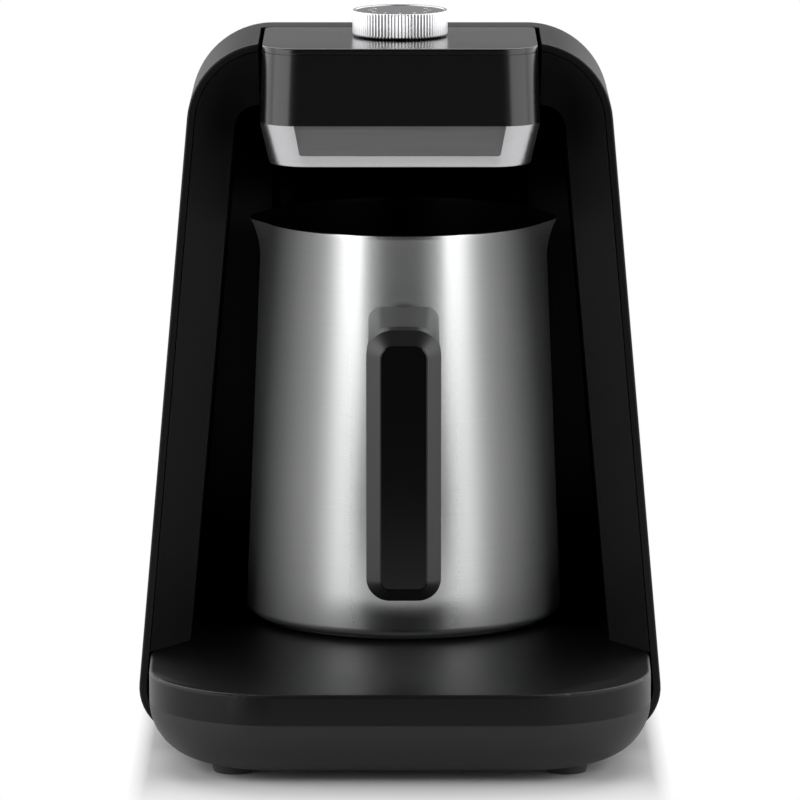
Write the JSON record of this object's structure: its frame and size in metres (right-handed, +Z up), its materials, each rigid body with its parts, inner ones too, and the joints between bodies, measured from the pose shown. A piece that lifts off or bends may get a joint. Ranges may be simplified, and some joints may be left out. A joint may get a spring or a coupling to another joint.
{
  "type": "electric turkish coffee maker",
  "caption": "Electric Turkish coffee maker: arch-shaped housing with a tray and heating plate, a head with a press-and-turn knob, and a lift-out steel pot with pouring lips.",
  "frame": {"origin": "on the table, under the middle of the object's outline", "axes": "+Z up, front of the machine and pot handle towards -Y, +X to the right seen from the front"},
  "size_m": [0.171, 0.24, 0.2403],
  "materials": {
    "black_satin_plastic": "satin moulded black with a fine spark texture",
    "black_bay_plastic": "satin black",
    "black_under_plastic": "fine matte texture",
    "black_gloss_plastic": "polished piano black",
    "satin_chrome": "satin chrome plating",
    "knob_metal": "bright plated with fine flutes",
    "knob_face": "dark grey satin disc with small light marks",
    "inner_plastic": "moulded",
    "sensor_glass": "dark red window",
    "rubber": "matte rubber",
    "silicone": "matte silicone",
    "screw_steel": "zinc plated",
    "heater_aluminium": "turned face",
    "heater_sheath": "heat tinted sheath",
    "circuit_board": "solder mask green",
    "transformer_iron": "varnished laminations",
    "gland_plastic": "nylon",
    "wire_insulation": "insulation",
    "pot_steel": "round-brushed stainless steel outside, black non-stick coating inside",
    "handle_plastic": "dark grey satin",
    "handle_gloss": "glossy black strip",
    "bridge_satin": "grey satin"
  },
  "bodies": {
    "root": {"base_tray": "black_satin_plastic", "bottom_cover": "black_under_plastic", "base_screws": "screw_steel", "rubber_feet": "rubber", "heating_plate": "heater_aluminium", "plate_seal": "silicone", "heater_element": "heater_sheath", "heater_bracket": "screw_steel", "bracket_screws": "screw_steel", "thermostat": "screw_steel", "thermal_fuse": "screw_steel", "rear_shell": "black_satin_plastic", "rear_screws": "screw_steel", "right_bezel": "black_satin_plastic", "left_bezel": "black_satin_plastic", "bay_liner": "black_bay_plastic", "head_shell": "black_gloss_plastic", "head_top_cover": "black_gloss_plastic", "chrome_band": "satin_chrome", "head_base": "black_bay_plastic", "head_screws": "screw_steel", "sensor_lens": "sensor_glass", "sensor_board": "circuit_board", "control_board": "circuit_board", "board_screws": "screw_steel", "encoder": "inner_plastic", "switch_dome": "screw_steel", "buzzer": "inner_plastic", "power_board": "circuit_board", "power_board_screws": "screw_steel", "relay": "inner_plastic", "transformer": "transformer_iron", "terminal_block": "inner_plastic", "cord_gland": "gland_plastic", "gland_nut": "gland_plastic", "mains_leads": "wire_insulation", "heater_leads": "wire_insulation", "ribbon_cable": "wire_insulation"},
    "push_switch": {"switch_plunger": "inner_plastic"},
    "knob": {"knob_ring": "knob_metal", "knob_core": "inner_plastic", "knob_cap": "knob_face", "knob_shaft": "screw_steel"},
    "pot": {"pot_body": "pot_steel", "pot_base_ring": "silicone", "pot_base_disc": "heater_aluminium", "handle_grip": "handle_plastic", "handle_insert": "handle_gloss", "handle_bridge": "bridge_satin", "handle_mount": "screw_steel", "handle_screw": "screw_steel"}
  },
  "joints": [
    {"name": "knob_press", "type": "slide", "parent": "root", "child": "push_switch", "axis": [0, 0, -1], "range_m": [0, 0.0005], "stiffness_N_per_m": 1200, "springref_m": -0.0012},
    {"name": "knob_turn", "type": "hinge", "parent": "push_switch", "child": "knob", "pos_m": [0, -0.032, 0.236], "axis": [0, 0, 1], "continuous": true},
    {"name": "pot_out", "type": "slide", "parent": "root", "child": "pot", "axis": [0, -1, 0], "range_m": [0, 0.2]}
  ]
}
